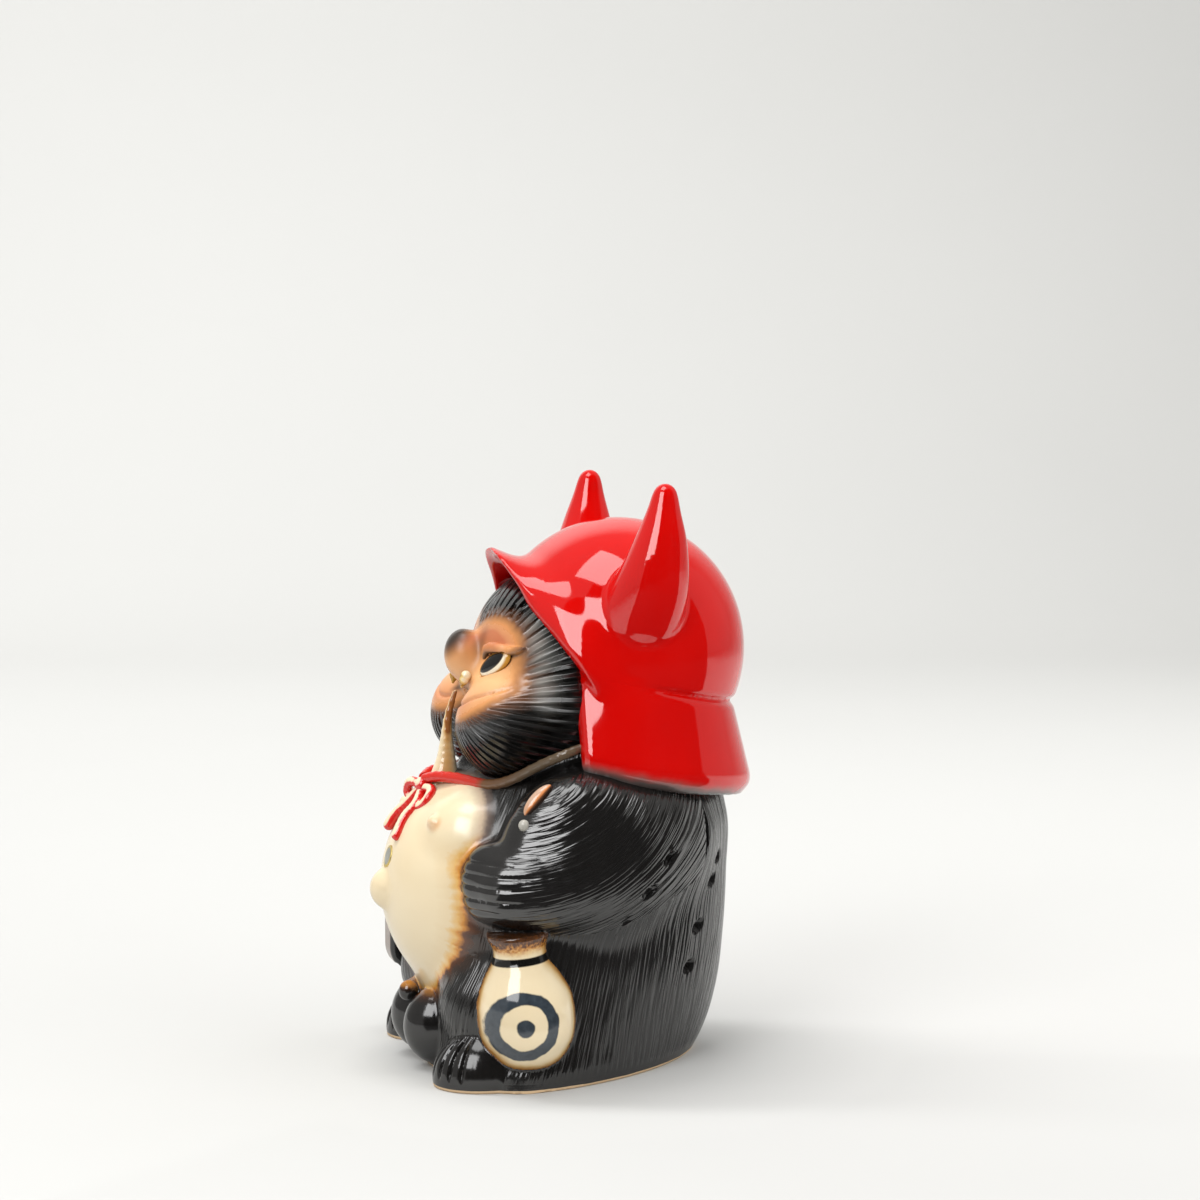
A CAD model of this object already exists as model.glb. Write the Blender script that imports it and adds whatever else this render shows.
import math

import bmesh
import bpy
import numpy as np
import openvdb
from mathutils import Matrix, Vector


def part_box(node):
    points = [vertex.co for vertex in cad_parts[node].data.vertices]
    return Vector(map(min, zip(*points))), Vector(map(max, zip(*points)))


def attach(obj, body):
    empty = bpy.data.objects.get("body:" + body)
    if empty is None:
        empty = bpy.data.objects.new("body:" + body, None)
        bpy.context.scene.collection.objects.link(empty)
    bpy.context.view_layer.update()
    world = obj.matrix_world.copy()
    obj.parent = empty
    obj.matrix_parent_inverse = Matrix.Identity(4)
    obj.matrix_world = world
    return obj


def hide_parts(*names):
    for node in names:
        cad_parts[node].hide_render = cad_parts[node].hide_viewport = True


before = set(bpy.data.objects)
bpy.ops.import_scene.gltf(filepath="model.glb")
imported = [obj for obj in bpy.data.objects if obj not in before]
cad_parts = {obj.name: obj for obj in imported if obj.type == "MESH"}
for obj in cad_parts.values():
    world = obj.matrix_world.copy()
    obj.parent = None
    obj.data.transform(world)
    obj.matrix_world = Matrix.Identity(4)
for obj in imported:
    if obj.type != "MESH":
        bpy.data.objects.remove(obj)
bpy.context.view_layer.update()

# Sculpting is in millimetres in the frame's axes: the face looks along -Y, the figure's left is +X
MM = 0.001
COARSE = 1.0
SEAM_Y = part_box("body_front_half")[1].y / MM
FOOT_LINE = 0.9            # bare clay above the foot rim
OVERLAP = 2.0              # how far a piece runs on under its neighbour's glaze
SINK = 0.3                 # how deep its hidden edge lies there
BELOW_FLOOR = -1.2         # where the grid starts for pieces that stand on the floor
SIDES = (("left", 1), ("right", -1))

# Mesh size of each kind of piece, and the margin of its grid round the CAD node
GRIDS = {
    "body": (1.1, 3), "arm": (0.85, 5), "thumb": (0.4, 6), "foot": (0.6, 4), "bag": (0.6, 4),
    "flask": (0.6, 4), "head": (0.8, 4), "eye": (0.3, 4), "fang": (0.3, 4), "beard": (0.5, 7),
    "bowl": (1.05, 3), "visor": (0.75, 5), "guard": (1.0, 4), "horn": (0.7, 4), "ledger": (0.6, 2),
    "cord": (0.5, 6), "ribbon": (0.4, 9), "seal": (0.25, 3),
}
STANDING = ("foot", "bag")
BAND_CELLS = 3             # how many cells of the grid on each side of a skin hold distances
SETTLE_STEPS = 2           # how often a mesh is drawn onto its skin
SHARP = math.radians(50)   # edges bent more than this are shaded sharp
SEAM_SHARP = math.radians(60)

# Softness of the joints between pieces
FLASK_JOINT = 1.0
BAG_FOOT_JOINT = 1.2
BAG_JOINT = 1.5
FOOT_JOINT = 2.0
ARM_HEAD_JOINT = 2.0
NECK_JOINT = 2.5
FLOOR_ROUND = 0.8


# Fields: distances to a form, negative inside

def smooth_union(a, b, soft):
    share = np.clip(0.5 + 0.5 * (b - a) / soft, 0, 1)
    return b + (a - b) * share - soft * share * (1 - share)


def smooth_both(a, b, soft):
    return -smooth_union(-a, -b, soft)


def merge(form, *others):
    """A form joined to others, each given with a softness."""
    for other, soft in others:
        form = smooth_union(form, other, soft)
    return form


def smooth_step(low, high, value):
    share = np.clip((value - low) / (high - low), 0, 1)
    return share * share * (3 - 2 * share)


def mirrored(p):
    return np.abs(p[0]), p[1], p[2]


def one_side(form, side, gap=0.0):
    """The half of a mirrored form on the figure's left, 1, or right, -1."""
    return lambda p: np.maximum(form(p), gap - side * p[0])


def middle_of(a, b):
    return [(low + high) / 2 for low, high in zip(a, b)]


def in_frame(p, centre, axes=None):
    """Coordinates from a centre, along X, Y and Z or along three given directions."""
    offset = [p[i] - centre[i] for i in range(3)]
    if axes is None:
        return offset
    return [offset[0] * a[0] + offset[1] * a[1] + offset[2] * a[2] for a in axes]


def ellipsoid(p, centre, radii, axes=None):
    local = in_frame(p, centre, axes)
    near = np.sqrt(sum((c / r) ** 2 for c, r in zip(local, radii)))
    slope = np.sqrt(sum((c / r ** 2) ** 2 for c, r in zip(local, radii))) + 1e-6
    return near * (near - 1) / slope


def limb(p, stations, soft, links=0):
    """A round limb through balls, each a centre and a radius; with links, on a smooth curve through them."""
    if links:
        places = range(len(stations))
        values = np.array([(*centre, radius) for centre, radius in stations])
        steps = np.linspace(0, len(stations) - 1, links)
        table = np.array([curve(steps, places, values[:, i]) for i in range(4)]).T
        stations = [(row[:3], row[3]) for row in table]
    form = None
    for (a, radius_a), (b, radius_b) in zip(stations, stations[1:]):
        axis = [b[i] - a[i] for i in range(3)]
        offset = in_frame(p, a)
        share = sum(o * d for o, d in zip(offset, axis)) / sum(d * d for d in axis)
        share = np.clip(share, 0, 1)
        gap = np.sqrt(sum((o - share * d) ** 2 for o, d in zip(offset, axis)))
        piece = gap - radius_a - share * (radius_b - radius_a)
        form = piece if form is None else smooth_union(form, piece, soft)
    return form


def curve(at, places, values):
    """A smooth curve through a few values, level beyond its ends."""
    places = np.asarray(places, float)
    values = np.asarray(values, float)
    slopes = np.gradient(values, places)
    at = np.clip(at, places[0], places[-1])
    index = np.clip(np.searchsorted(places, at, side="right") - 1, 0, len(places) - 2)
    length = places[index + 1] - places[index]
    t = (at - places[index]) / length
    return (
        (2 * t ** 3 - 3 * t ** 2 + 1) * values[index]
        + (t ** 3 - 2 * t ** 2 + t) * length * slopes[index]
        + (3 * t ** 2 - 2 * t ** 3) * values[index + 1]
        + (t ** 3 - t ** 2) * length * slopes[index + 1]
    )


def hashed(i, j, k, seed):
    """A scattered value from -1 to 1 for each corner of a grid."""
    mixed = (i * 73856093) ^ (j * 19349663) ^ (k * 83492791) ^ (seed * 26544357)
    mixed = (mixed ^ (mixed >> 13)) * 1274126177
    return ((mixed ^ (mixed >> 16)) & 0xFFFF) / 32767.5 - 1


def noise(x, y, z, seed):
    """Smooth random values from -1 to 1, the same on every run."""
    corners = [np.floor(c).astype(np.int64) for c in (x, y, z)]
    ease = []
    for c, corner in zip((x, y, z), corners):
        part = c - corner
        ease.append(part * part * (3 - 2 * part))
    total = 0
    for i in (0, 1):
        for j in (0, 1):
            for k in (0, 1):
                weight = (ease[0] if i else 1 - ease[0]) * (ease[1] if j else 1 - ease[1])
                weight = weight * (ease[2] if k else 1 - ease[2])
                total = total + weight * hashed(corners[0] + i, corners[1] + j, corners[2] + k, seed)
    return total


# Body

BODY_Z = (0, 6, 14, 27, 54, 80, 107, 124, 138)
BODY_SIDE = (70, 69, 66.5, 64, 62.5, 62, 57.5, 49, 38)
BODY_WIDEST = (-32, -31, -28, -24, -16, -8, 0, 5, 6)
BODY_FRONT = (-61.5, -62, -62, -61, -60, -58, -52, -44, -31)
BODY_BACK = (59.5, 63, 66.5, 70, 72.8, 73.5, 73, 67, 53)
BODY_BEND = (1.62, 1.64, 1.68, 1.75, 1.9, 2.0, 2.1, 2.1, 2.0)
BODY_WALL = 7.0
BODY_TOP = 139
HOLLOW_TOP = 128
FRONT_BEND = 2.2

BELLY = ((0, -28, 76), (54, 51, 54))
NAVEL = ((0, -75.2, 76), (9, 9.5, 9.5))
BREAST = ((24, -46.5, 103), (18, 17.5, 17))
NIPPLE = ((27.5, -62.6, 108.5), (3.0, 3.0, 3.0))
THIGH = ((38, -40, 32), (21, 23, 22))


def torso(p, inset=0.0):
    """The body's level slices: a rounded front and a back that narrows towards the foot rim."""
    x, y, z = p
    side = curve(z, BODY_Z, BODY_SIDE) - inset
    widest = curve(z, BODY_Z, BODY_WIDEST)
    front = widest - curve(z, BODY_Z, BODY_FRONT) - inset
    back = curve(z, BODY_Z, BODY_BACK) - widest - inset
    depth = y - widest
    bend = np.where(depth < 0, FRONT_BEND, curve(z, BODY_Z, BODY_BEND))
    reach = np.where(depth < 0, front, back)
    ring = ((np.abs(x) / side) ** bend + (np.abs(depth) / reach) ** bend) ** (1 / bend)
    ring = np.maximum(ring, 1e-3)
    radius = np.sqrt(x * x + depth * depth)
    return radius - radius / ring


def body_form(p):
    form = smooth_both(torso(p), p[2] - BODY_TOP, 8)
    both = mirrored(p)
    return merge(
        form, (ellipsoid(p, *BELLY), 9), (ellipsoid(both, *THIGH), 8), (ellipsoid(both, *BREAST), 6),
        (ellipsoid(both, *NIPPLE), 2), (ellipsoid(p, *NAVEL), 2.5))


def body_hollow(p):
    form = smooth_both(torso(p, BODY_WALL), p[2] - HOLLOW_TOP, 8)
    return smooth_union(form, ellipsoid(p, BELLY[0], [r - BODY_WALL for r in BELLY[1]]), 8)


# Arms, thumbs, feet and bag, on the figure's left; the right is its mirror image

ARM = (
    ((40, 31, 100), 21),
    ((47, 14, 98), 26),
    ((54, -6, 91), 25),
    ((57, -22, 86), 20.5),
    ((56.5, -35, 85), 17.5),
)
SHOULDER = (
    ((44, 24, 108), 20),
    ((50, 4, 110), 22),
    ((53, -10, 111), 20),
    ((54, -19, 109), 16),
    ((55, -27, 105), 12),
)
FINGERS = (((51, -46, 95), 6.5), ((49.5, -48, 87), 7.5), ((51, -46.5, 78), 7))
THUMB_ROOT = (62, -30.6, 116.8)
THUMB_TIP = (61.2, -21.6, 126)
THUMB_RADII = (8.4, 2.8, 3.6)
THUMB_BACK = (0.2, 0.8, -0.5)      # about the way in which the thumb is thicker
CLAW = ((63.8, -32.9, 111.6), (2.3, 2.3, 2.5))
FOOT = ((47, -45, 4), (19, 23, 20))
TOE_TURN = 0.27            # radians round the foot from toe to toe
TOE_DEPTH = 1.3
BAG = ((12.5, -57, 18), (13.5, 16, 17))
BAG_TIE = ((1.5, -68.5, 31), (4.2, 4.2, 4.6))


def unit(v):
    return np.asarray(v, float) / np.linalg.norm(v)


def arm_form(p):
    both = mirrored(p)
    form = smooth_union(limb(both, ARM, 1.5, 13), limb(both, SHOULDER, 1.5, 11), 8)
    for centre, radius in FINGERS:
        form = smooth_union(form, ellipsoid(both, centre, (radius,) * 3), 7)
    return form


def arm_soft(p):
    """The paw lies crisp on the belly; the shoulder melts into the back."""
    return 3.5 + 14 * smooth_step(-28, 14, p[1])


def thumb_form(p):
    both = mirrored(p)
    along = unit([b - a for a, b in zip(THUMB_ROOT, THUMB_TIP)])
    out = unit(np.cross(along, THUMB_BACK))
    axes = (along, out, np.cross(along, out))
    leaf = ellipsoid(both, middle_of(THUMB_ROOT, THUMB_TIP), THUMB_RADII, axes)
    return smooth_union(leaf, ellipsoid(both, *CLAW), 1.2)


def foot_form(p):
    return ellipsoid(mirrored(p), *FOOT)


def bag_form(p):
    lobes = smooth_union(ellipsoid(p, *BAG), ellipsoid(p, (-BAG[0][0], *BAG[0][1:]), BAG[1]), 1.2)
    return smooth_union(lobes, ellipsoid(p, *BAG_TIE), 1.5)


# Flask under the left paw

FLASK_LEAN = math.radians(5.5)
FLASK_FOOT = (57.5, -28.5, 8)
FLASK_AXES = (
    (1, 0, 0),
    (0, math.cos(FLASK_LEAN), math.sin(FLASK_LEAN)),
    (0, -math.sin(FLASK_LEAN), math.cos(FLASK_LEAN)),
)
FLASK_RISE = (0, 2.5, 10, 22, 32, 41, 47, 51.5, 56, 58.5)
FLASK_RADII = (7.5, 11.8, 17.8, 20.4, 19.4, 15.2, 11.6, 11, 12.8, 13.6)
FLASK_TOP = FLASK_RISE[-1]
FLASK_CORD_UP = 47.5
RING_DEEP = -5.2           # middle of the painted ring
RING_UP = 22.0


def flask_form(p):
    across, deep, up = in_frame(p, FLASK_FOOT, FLASK_AXES)
    wall = np.sqrt(across * across + deep * deep) - curve(up, FLASK_RISE, FLASK_RADII)
    return smooth_both(smooth_both(wall * 0.92, up - FLASK_TOP, 2), -up, 3)


# Head

SKULL = ((0, 0, 175), (46, 38.5, 39))
NECK = (((0, 8, 118), 38), ((0, 8, 160), 37))
RUFF = ((0, -5, 160), (51, 31, 39))
RUFF_REAR_Y = -3.0         # where the ruff ends behind the cheeks
RUFF_REAR_TILT = (0.93, 0.108)
JOWL = ((23.5, -30, 147.5), (22, 22, 22))
MUZZLE = ((0, -33.5, 166), (16, 10.5, 9))
NOSE = ((0, -43.2, 176.2), (9.4, 8.2, 11))
LID_FOLD = (((17.5, -38.2, 176.5), 1.0), ((19.5, -37.4, 180.4), 2.0), ((24, -34.8, 181.2), 2.3),
            ((30, -30.2, 180.2), 2.1), ((35.5, -25.6, 181.6), 1.0))
EYE_CENTRE = (23.6, -35.0, 174.2)
EYE_ALONG = unit((12, 8.6, 9.1))
EYE_OUT = unit(np.cross(np.cross(EYE_ALONG, (0.45, -0.88, 0.12)), EYE_ALONG))
EYE_AXES = (EYE_ALONG, np.cross(EYE_OUT, EYE_ALONG), EYE_OUT)
EYE_RADII = (9.6, 4.5, 2.7)
EYE_GAP = 0.5
PUPIL_AT = (-0.2, 1.4)
PUPIL_RADII = (7.9, 3.6)
FANG = (((9.6, -44.4, 168), 2.3), ((8.9, -45.2, 166), 1.9), ((8, -46, 163.2), 0.6))
BEARD = (
    ((0, -47, 160), 1.0),
    ((0, -50, 150), 1.6),
    ((0, -50.8, 140), 2.6),
    ((0, -51, 132), 3.9),
    ((0, -51.8, 124), 5.8),
    ((0, -53, 119), 6.8),
)
BEARD_Z = (119, 124, 132, 140, 150, 160)
BEARD_HALF = (5.9, 5, 3.4, 2.3, 1.4, 0.9)
HEAD_TRIM = ((0, -20, 160), (60, 62, 60))      # the part of the head that is kept; the rest would be hidden
HEAD_BACK = 42
HEAD_TOP = 218


def head_form(p):
    both = mirrored(p)
    ruff = ellipsoid(p, *RUFF)
    behind = (p[1] - RUFF_REAR_Y) * RUFF_REAR_TILT[0] + (p[2] - RUFF[0][2]) * RUFF_REAR_TILT[1]
    ruff = smooth_both(ruff, behind, 2.5)
    form = merge(
        ellipsoid(p, *SKULL), (ruff, 5), (ellipsoid(both, *JOWL), 13), (ellipsoid(p, *MUZZLE), 4),
        (ellipsoid(p, *NOSE), 5.5), (limb(both, LID_FOLD, 0.5, 9), 0.9), (limb(p, NECK, 4), 4))
    socket = ellipsoid(both, EYE_CENTRE, [r + EYE_GAP for r in EYE_RADII], EYE_AXES)
    return -smooth_union(-form, socket, 1.0)


def eye_form(p):
    return ellipsoid(mirrored(p), EYE_CENTRE, EYE_RADII, EYE_AXES)


# Helmet: bowl, visor and guard share a frame that leans back

HELMET_CENTRE = (0, 25, 177)
LEAN = math.radians(12.7)
HELMET_AXES = ((1, 0, 0), (0, math.cos(LEAN), -math.sin(LEAN)), (0, math.sin(LEAN), math.cos(LEAN)))
BOWL_RADII = (57, 55.7, 57)
BOWL_WALL = 6.0
HORN_BED = 3.0             # how deep a horn's foot lies in the bowl
GROOVE_DEPTH = 1.6
GROOVE_WIDE = 1.7
VISOR_BLEND = 9.0
BROW = math.radians(42.2) - LEAN
BROW_AXES = ((1, 0, 0), (0, -math.sin(BROW), math.cos(BROW)), (0, math.cos(BROW), math.sin(BROW)))
BROW_REACH = 27.0
BROW_BOW = 6.1
TEMPLE_CUT = 8.2
VISOR_LENGTH = 17.0
FLARE_TURNS = (0, 0.18, 0.4, 0.65, 0.95, 1.28, 1.57)
FLARES = (17.6, 15, 8, 2, 0, 2.5, 3)
VISOR_FADE = 9.0
VISOR_WALL = 4.0
FLARE_POWER = 1.7
LEAST_BOWL = 30.0          # the bowl's radius where the visor's skin stops following it
RIM_DROP = 11.5
GUARD_TOP = (57.2, 54.2)
GUARD_LOW = (66, 72)
GUARD_HEIGHT = 35.0
GUARD_WALL = 7.5
GUARD_LIP = 7.0
GUARD_LIFT = 2.5           # how much shorter the guard is at the rear
GUARD_FRONT_Y = -5.5
GUARD_CORNER = 6.0         # how far the guard's front corners rise
GUARD_NARROWS = 3.5        # how far the guard's front edges turn in
HORN = (
    ((40, 22.5, 192), 17.8),
    ((47, 24, 200), 16.8),
    ((53.5, 26, 211), 14.4),
    ((57, 28, 226), 10.7),
    ((58, 29, 239), 6.7),
    ((58.2, 29.5, 247), 4.6),
)


def bowl_form(p):
    return ellipsoid(p, HELMET_CENTRE, BOWL_RADII, HELMET_AXES)


def visor_skin(p, inset):
    """The brim's skin: it runs on from the bowl, flares up to a peak and out over the temples."""
    across, up, back = in_frame(p, HELMET_CENTRE, BROW_AXES)
    share = np.clip(1 - (back + BROW_REACH) / VISOR_LENGTH, 0, 1.2)
    turn = np.arctan2(np.abs(across), up)
    flare = curve(turn, FLARE_TURNS, FLARES) * share ** FLARE_POWER
    round_bowl = np.sqrt(np.maximum(BOWL_RADII[0] ** 2 - back ** 2, LEAST_BOWL ** 2))
    root = VISOR_FADE * np.clip(1 - share, 0, 1) ** 2
    return np.hypot(across, up) - (round_bowl + flare - inset - root)


def opening(p):
    """Distance in front of the face opening, whose rim bows forward and draws back at the temples."""
    across, _, back = in_frame(p, HELMET_CENTRE, BROW_AXES)
    share = np.clip(np.abs(across) / BOWL_RADII[0], 0, 1)
    return -(back + BROW_REACH + BROW_BOW * share - TEMPLE_CUT * share ** 2)


def below_rim(p):
    """Distance below the rim between bowl and guard, negative above it."""
    return -(in_frame(p, HELMET_CENTRE, HELMET_AXES)[2] + RIM_DROP)


def visor_length(p):
    return in_frame(p, HELMET_CENTRE, BROW_AXES)[2] + BROW_REACH - VISOR_LENGTH


def visor_form(p):
    return smooth_both(np.maximum(visor_skin(p, 0), visor_length(p)), opening(p), 2.0)


def guard_skin(p, inset):
    across, back, up = in_frame(p, HELMET_CENTRE, HELMET_AXES)
    flare = np.clip(-(up + RIM_DROP) / GUARD_HEIGHT, -0.2, 1.2)
    narrow = GUARD_NARROWS * smooth_step(14, -9, p[1])
    side = GUARD_TOP[0] + (GUARD_LOW[0] - GUARD_TOP[0]) * flare - inset - narrow
    rear = GUARD_TOP[1] + (GUARD_LOW[1] - GUARD_TOP[1]) * flare - inset
    ring = np.maximum(np.sqrt((across / side) ** 2 + (back / rear) ** 2), 1e-3)
    radius = np.sqrt(across ** 2 + back ** 2)
    return radius - radius / ring


def guard_form(p):
    """The neck guard's outer form: a flared band whose lower edge turns in."""
    outer = guard_skin(p, 0)
    up = -below_rim(p)
    under = (outer - up - GUARD_HEIGHT + GUARD_LIFT * smooth_step(20, 75, p[1])) * 0.72
    form = smooth_both(outer, under, 3.0)
    form = smooth_both(form, -(up + GUARD_HEIGHT + GUARD_LIP), 2.0)
    form = smooth_both(form, up - 2 - GUARD_CORNER * smooth_step(16, -6, p[1]), 2.0)
    return smooth_both(form, GUARD_FRONT_Y - p[1], 3.5)


def horn_form(p):
    return limb(mirrored(p), HORN, 1.2, 31)


def helmet_hollow(p):
    bowl = ellipsoid(p, HELMET_CENTRE, [r - BOWL_WALL for r in BOWL_RADII], HELMET_AXES)
    brim = np.maximum(np.maximum(visor_skin(p, VISOR_WALL), visor_length(p)), below_rim(p) + 2)
    band = np.maximum(guard_skin(p, GUARD_WALL), -below_rim(p) - 3)
    return smooth_union(smooth_union(bowl, brim, 2.0), band, 2.0)


def helmet_form(p):
    """Bowl, visor, guard and horns in one skin, with a groove between bowl and guard at the rear."""
    bowl = smooth_both(bowl_form(p), opening(p) + 1.5, 1.5)
    form = smooth_union(bowl, visor_form(p), VISOR_BLEND)
    rear = smooth_step(8, 48, p[1])
    form = smooth_union(form, guard_form(p), 1.2 + 1.3 * (1 - rear))
    groove = GROOVE_DEPTH * smooth_step(10, 34, p[1]) * np.exp(-(below_rim(p) / GROOVE_WIDE) ** 2)
    return smooth_union(form + groove, horn_form(p), 2.2)


# Ledger, cords, bow and seal

LEDGER_CORNER = 6.0        # how much of its lower front corner is cut off
LEDGER_ROUND = 2.5
COVER = 1.8
PAGE_INSET = 1.2
SEAL_AT = (2.0, 90.4)
SEAL_RADIUS = 4.5
SEAL_THICK = 0.45
SEAL_BED = 0.6
BOW_KNOT = ((1, -62, 120.5), (3.6, 3.0, 3.4))
BOW_LOOPS = {
    "left": ((3, -61.2, 119.5), (8, -59.4, 119.3), (10.5, -61.6, 115.7), (7, -64.4, 112), (3, -62.8, 116.5)),
    "right": ((-1, -62, 120.5), (-6, -65.4, 121), (-9, -66, 116.5), (-6, -64.6, 113.8), (-2, -62.6, 117.5)),
}
BOW_TAILS = {
    "left": ((2, -62, 118.5), (5, -65.4, 112.8), (4.2, -70, 107.2), (5.7, -74, 99.9)),
    "right": ((-2, -62.5, 118), (-5, -66.8, 112.4), (-8.5, -71.6, 106.4), (-10, -74.2, 101.8)),
}
RIBBON = 2.0
CORD_GAP = 1.5             # half the gap between the cords under the bow
CHIN_CORD = (
    ((2, -60.5, 123.3), 2.2),
    ((8, -55.8, 124.8), 2.3),
    ((15, -49, 124.6), 2.4),
    ((28, -40, 123.6), 2.3),
    ((36, -32, 126.2), 2.2),
    ((46, -21, 133.8), 2.1),
    ((52, -13.3, 138.3), 2.0),
    ((51, -5, 141), 1.9),
)


# Meshing

def gradient(points, field, reach):
    slope = np.empty_like(points)
    for axis in range(3):
        step = np.zeros(3)
        step[axis] = reach
        slope[:, axis] = field((points + step).T) - field((points - step).T)
    return slope / (2 * reach)


def sculpt(name, box, step, field, relief=None):
    """Mesh the skin of a field inside a box, settle it on the skin, and raise its relief."""
    step = step * COARSE
    low = np.asarray(box[0], float)
    axes = [np.arange(l, h + step, step, dtype=np.float32) for l, h in zip(*box)]
    grid_points = (axes[0][:, None, None], axes[1][None, :, None], axes[2][None, None, :])
    values = np.broadcast_to(field(grid_points), [len(a) for a in axes])
    reach = BAND_CELLS * step
    volume = openvdb.FloatGrid(reach)
    volume.copyFromArray(np.ascontiguousarray(np.clip(values, -reach, reach), dtype=np.float32))
    points, _, quads = volume.convertToPolygons(isovalue=0.0, adaptivity=0.0)
    points = points * step + low
    for _ in range(SETTLE_STEPS):
        slope = gradient(points, field, 0.2 * step)
        steep = np.maximum((slope ** 2).sum(1), 0.05)
        move = np.clip(field(points.T) / steep, -step, step)
        points = points - slope * move[:, None]
    normals = gradient(points, field, 0.3 * step)
    normals /= np.maximum(np.linalg.norm(normals, axis=1), 1e-6)[:, None]
    if relief is not None:
        points = points + normals * relief(points)[:, None]
    return make_mesh(name, points, quads, normals), points, normals


def make_mesh(name, points, quads, normals):
    corners = points[quads]
    facing = np.cross(corners[:, 2] - corners[:, 0], corners[:, 3] - corners[:, 1])
    if (facing * normals[quads[:, 0]]).sum() < 0:
        quads = quads[:, ::-1]
    mesh = bpy.data.meshes.new(name)
    mesh.vertices.add(len(points))
    mesh.vertices.foreach_set("co", (points * MM).astype(np.float32).ravel())
    mesh.loops.add(quads.size)
    mesh.loops.foreach_set("vertex_index", quads.astype(np.int32).ravel())
    mesh.polygons.add(len(quads))
    mesh.polygons.foreach_set("loop_start", np.arange(0, quads.size, 4, dtype=np.int32))
    mesh.update(calc_edges=True)
    mesh.validate()
    mesh.shade_smooth()
    mesh.set_sharp_from_angle(angle=SHARP)
    return mesh


def part_of(skin, own, *others):
    """One piece's part of a common skin: it runs on a little under a neighbour that is nearer."""
    nearest = np.minimum.reduce(np.broadcast_arrays(*others))
    border = (own - nearest) * 0.5 - OVERLAP
    return np.maximum(skin + SINK * np.clip(border / OVERLAP + 1, 0, 1), border)


def ends_at(skin, past):
    """A skin that runs on a little past a border, and sinks there."""
    return np.maximum(skin + SINK * np.clip(past / OVERLAP, 0, 1), past - OVERLAP)


def share_skin(own, *neighbours):
    """A form with soft joints to its neighbours, each a form and a softness."""
    return part_of(merge(own, *neighbours), own, *[other for other, _ in neighbours])


def set_paint(mesh, paint):
    for name, values in paint.items():
        layer = mesh.attributes.new(name, "FLOAT", "POINT")
        layer.data.foreach_set("value", np.asarray(values, dtype=np.float32))


def add_piece(mesh, nodes, material, paint=None):
    """Put a sculpted mesh in the scene, in place of its CAD nodes."""
    set_paint(mesh, paint or {})
    mesh.materials.append(material)
    piece = bpy.data.objects.new(mesh.name, mesh)
    bpy.context.scene.collection.objects.link(piece)
    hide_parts(*nodes)
    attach(piece, "root")


def node_box(*nodes, margin):
    """The box round some CAD nodes, in millimetres, with a margin for the sculpted form."""
    corners = [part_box(node) for node in nodes]
    low = [min(c[0][i] for c in corners) / MM - margin for i in range(3)]
    high = [max(c[1][i] for c in corners) / MM + margin for i in range(3)]
    return low, high


def sculpt_node(node, kind, field, relief=None):
    """Sculpt the piece of one CAD node inside its box, from below the floor where the piece stands on it."""
    step, margin = GRIDS[kind]
    box = node_box(node, margin=margin)
    if kind in STANDING:
        box[0][2] = BELOW_FLOOR
    return sculpt(node + "_sculpt", box, step, field, relief)


# Relief: combed fur and gouges

def comb(across, along, pitch, seed):
    """Combed grooves: lines a pitch apart that wander and fade along their length, 0 to 1 deep."""
    wander = 0.5 * noise(across / (5 * pitch), along / (14 * pitch), across * 0, seed)
    line = 0.5 + 0.5 * np.cos(2 * np.pi * (across / pitch + wander))
    fade = smooth_step(-0.7, 0.2, noise(across / (1.6 * pitch), along / (9 * pitch), across * 0, seed + 1))
    return line ** 2.2 * fade


PITS = ((68.5, 28.8, 95.6), (68.6, 19.7, 82.2), (63.2, 10.9, 70.6), (35.5, 59.7, 89), (37.5, 56.8, 79.4),
        (41.3, 49.8, 60.5), (41.4, 45.8, 43.3))
PIT_WIDE = 3.4
PIT_TALL = 2.4
PIT_DEPTH = 3.2
BODY_COMB_REACH = 62


def pits(points):
    """Gouges in the fur behind the arms, on both sides, tilted with the comb."""
    x, y, z = points.T
    depth = np.zeros(len(points))
    for px, py, pz in PITS:
        aside = np.hypot(np.abs(x) - px, y - py)
        up = z - pz - 0.4 * (y - py)
        near = np.hypot(aside / PIT_WIDE, up / PIT_TALL)
        depth = np.maximum(depth, PIT_DEPTH * smooth_step(1.3, 0.4, near))
    return depth


def body_comb(points):
    """The comb's coordinates on the body: round it with a lean, and up it."""
    x, y, z = points.T
    lean = 0.25 * (z - 60) * np.sign(x) * smooth_step(60, -30, y)
    return np.arctan2(x, y + 5) * BODY_COMB_REACH + lean, z


def body_relief(points):
    outside = torso(points.T) > -4
    return -pits(points) * outside


def body_fur(points):
    return smooth_step(2, 9, cream_edge(points)) * smooth_step(3, 8, points[:, 2])


ARM_COMB = (-42, 165)      # Y and Z of the middle of the arms' combed arcs
ARM_COMB_REACH = 80
PAW_LINES = ((96, -36), (91, -28), (86, -32), (80.5, -34), (75.5, -40))
PAW_LINE_DEPTH = 0.8


def arm_comb(points):
    """The comb's coordinates on an arm: arcs that rise from the paw round to the back."""
    _, y, z = points.T
    deep = y - ARM_COMB[0]
    return np.hypot(deep, z - ARM_COMB[1]), np.arctan2(deep, ARM_COMB[1] - z) * ARM_COMB_REACH


def arm_relief(points):
    _, y, z = points.T
    lines = 0
    for height, reach in PAW_LINES:
        lines = lines + np.exp(-((z - height) / 0.7) ** 2) * smooth_step(reach, reach - 10, y)
    return -PAW_LINE_DEPTH * lines - pits(points)


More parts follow.
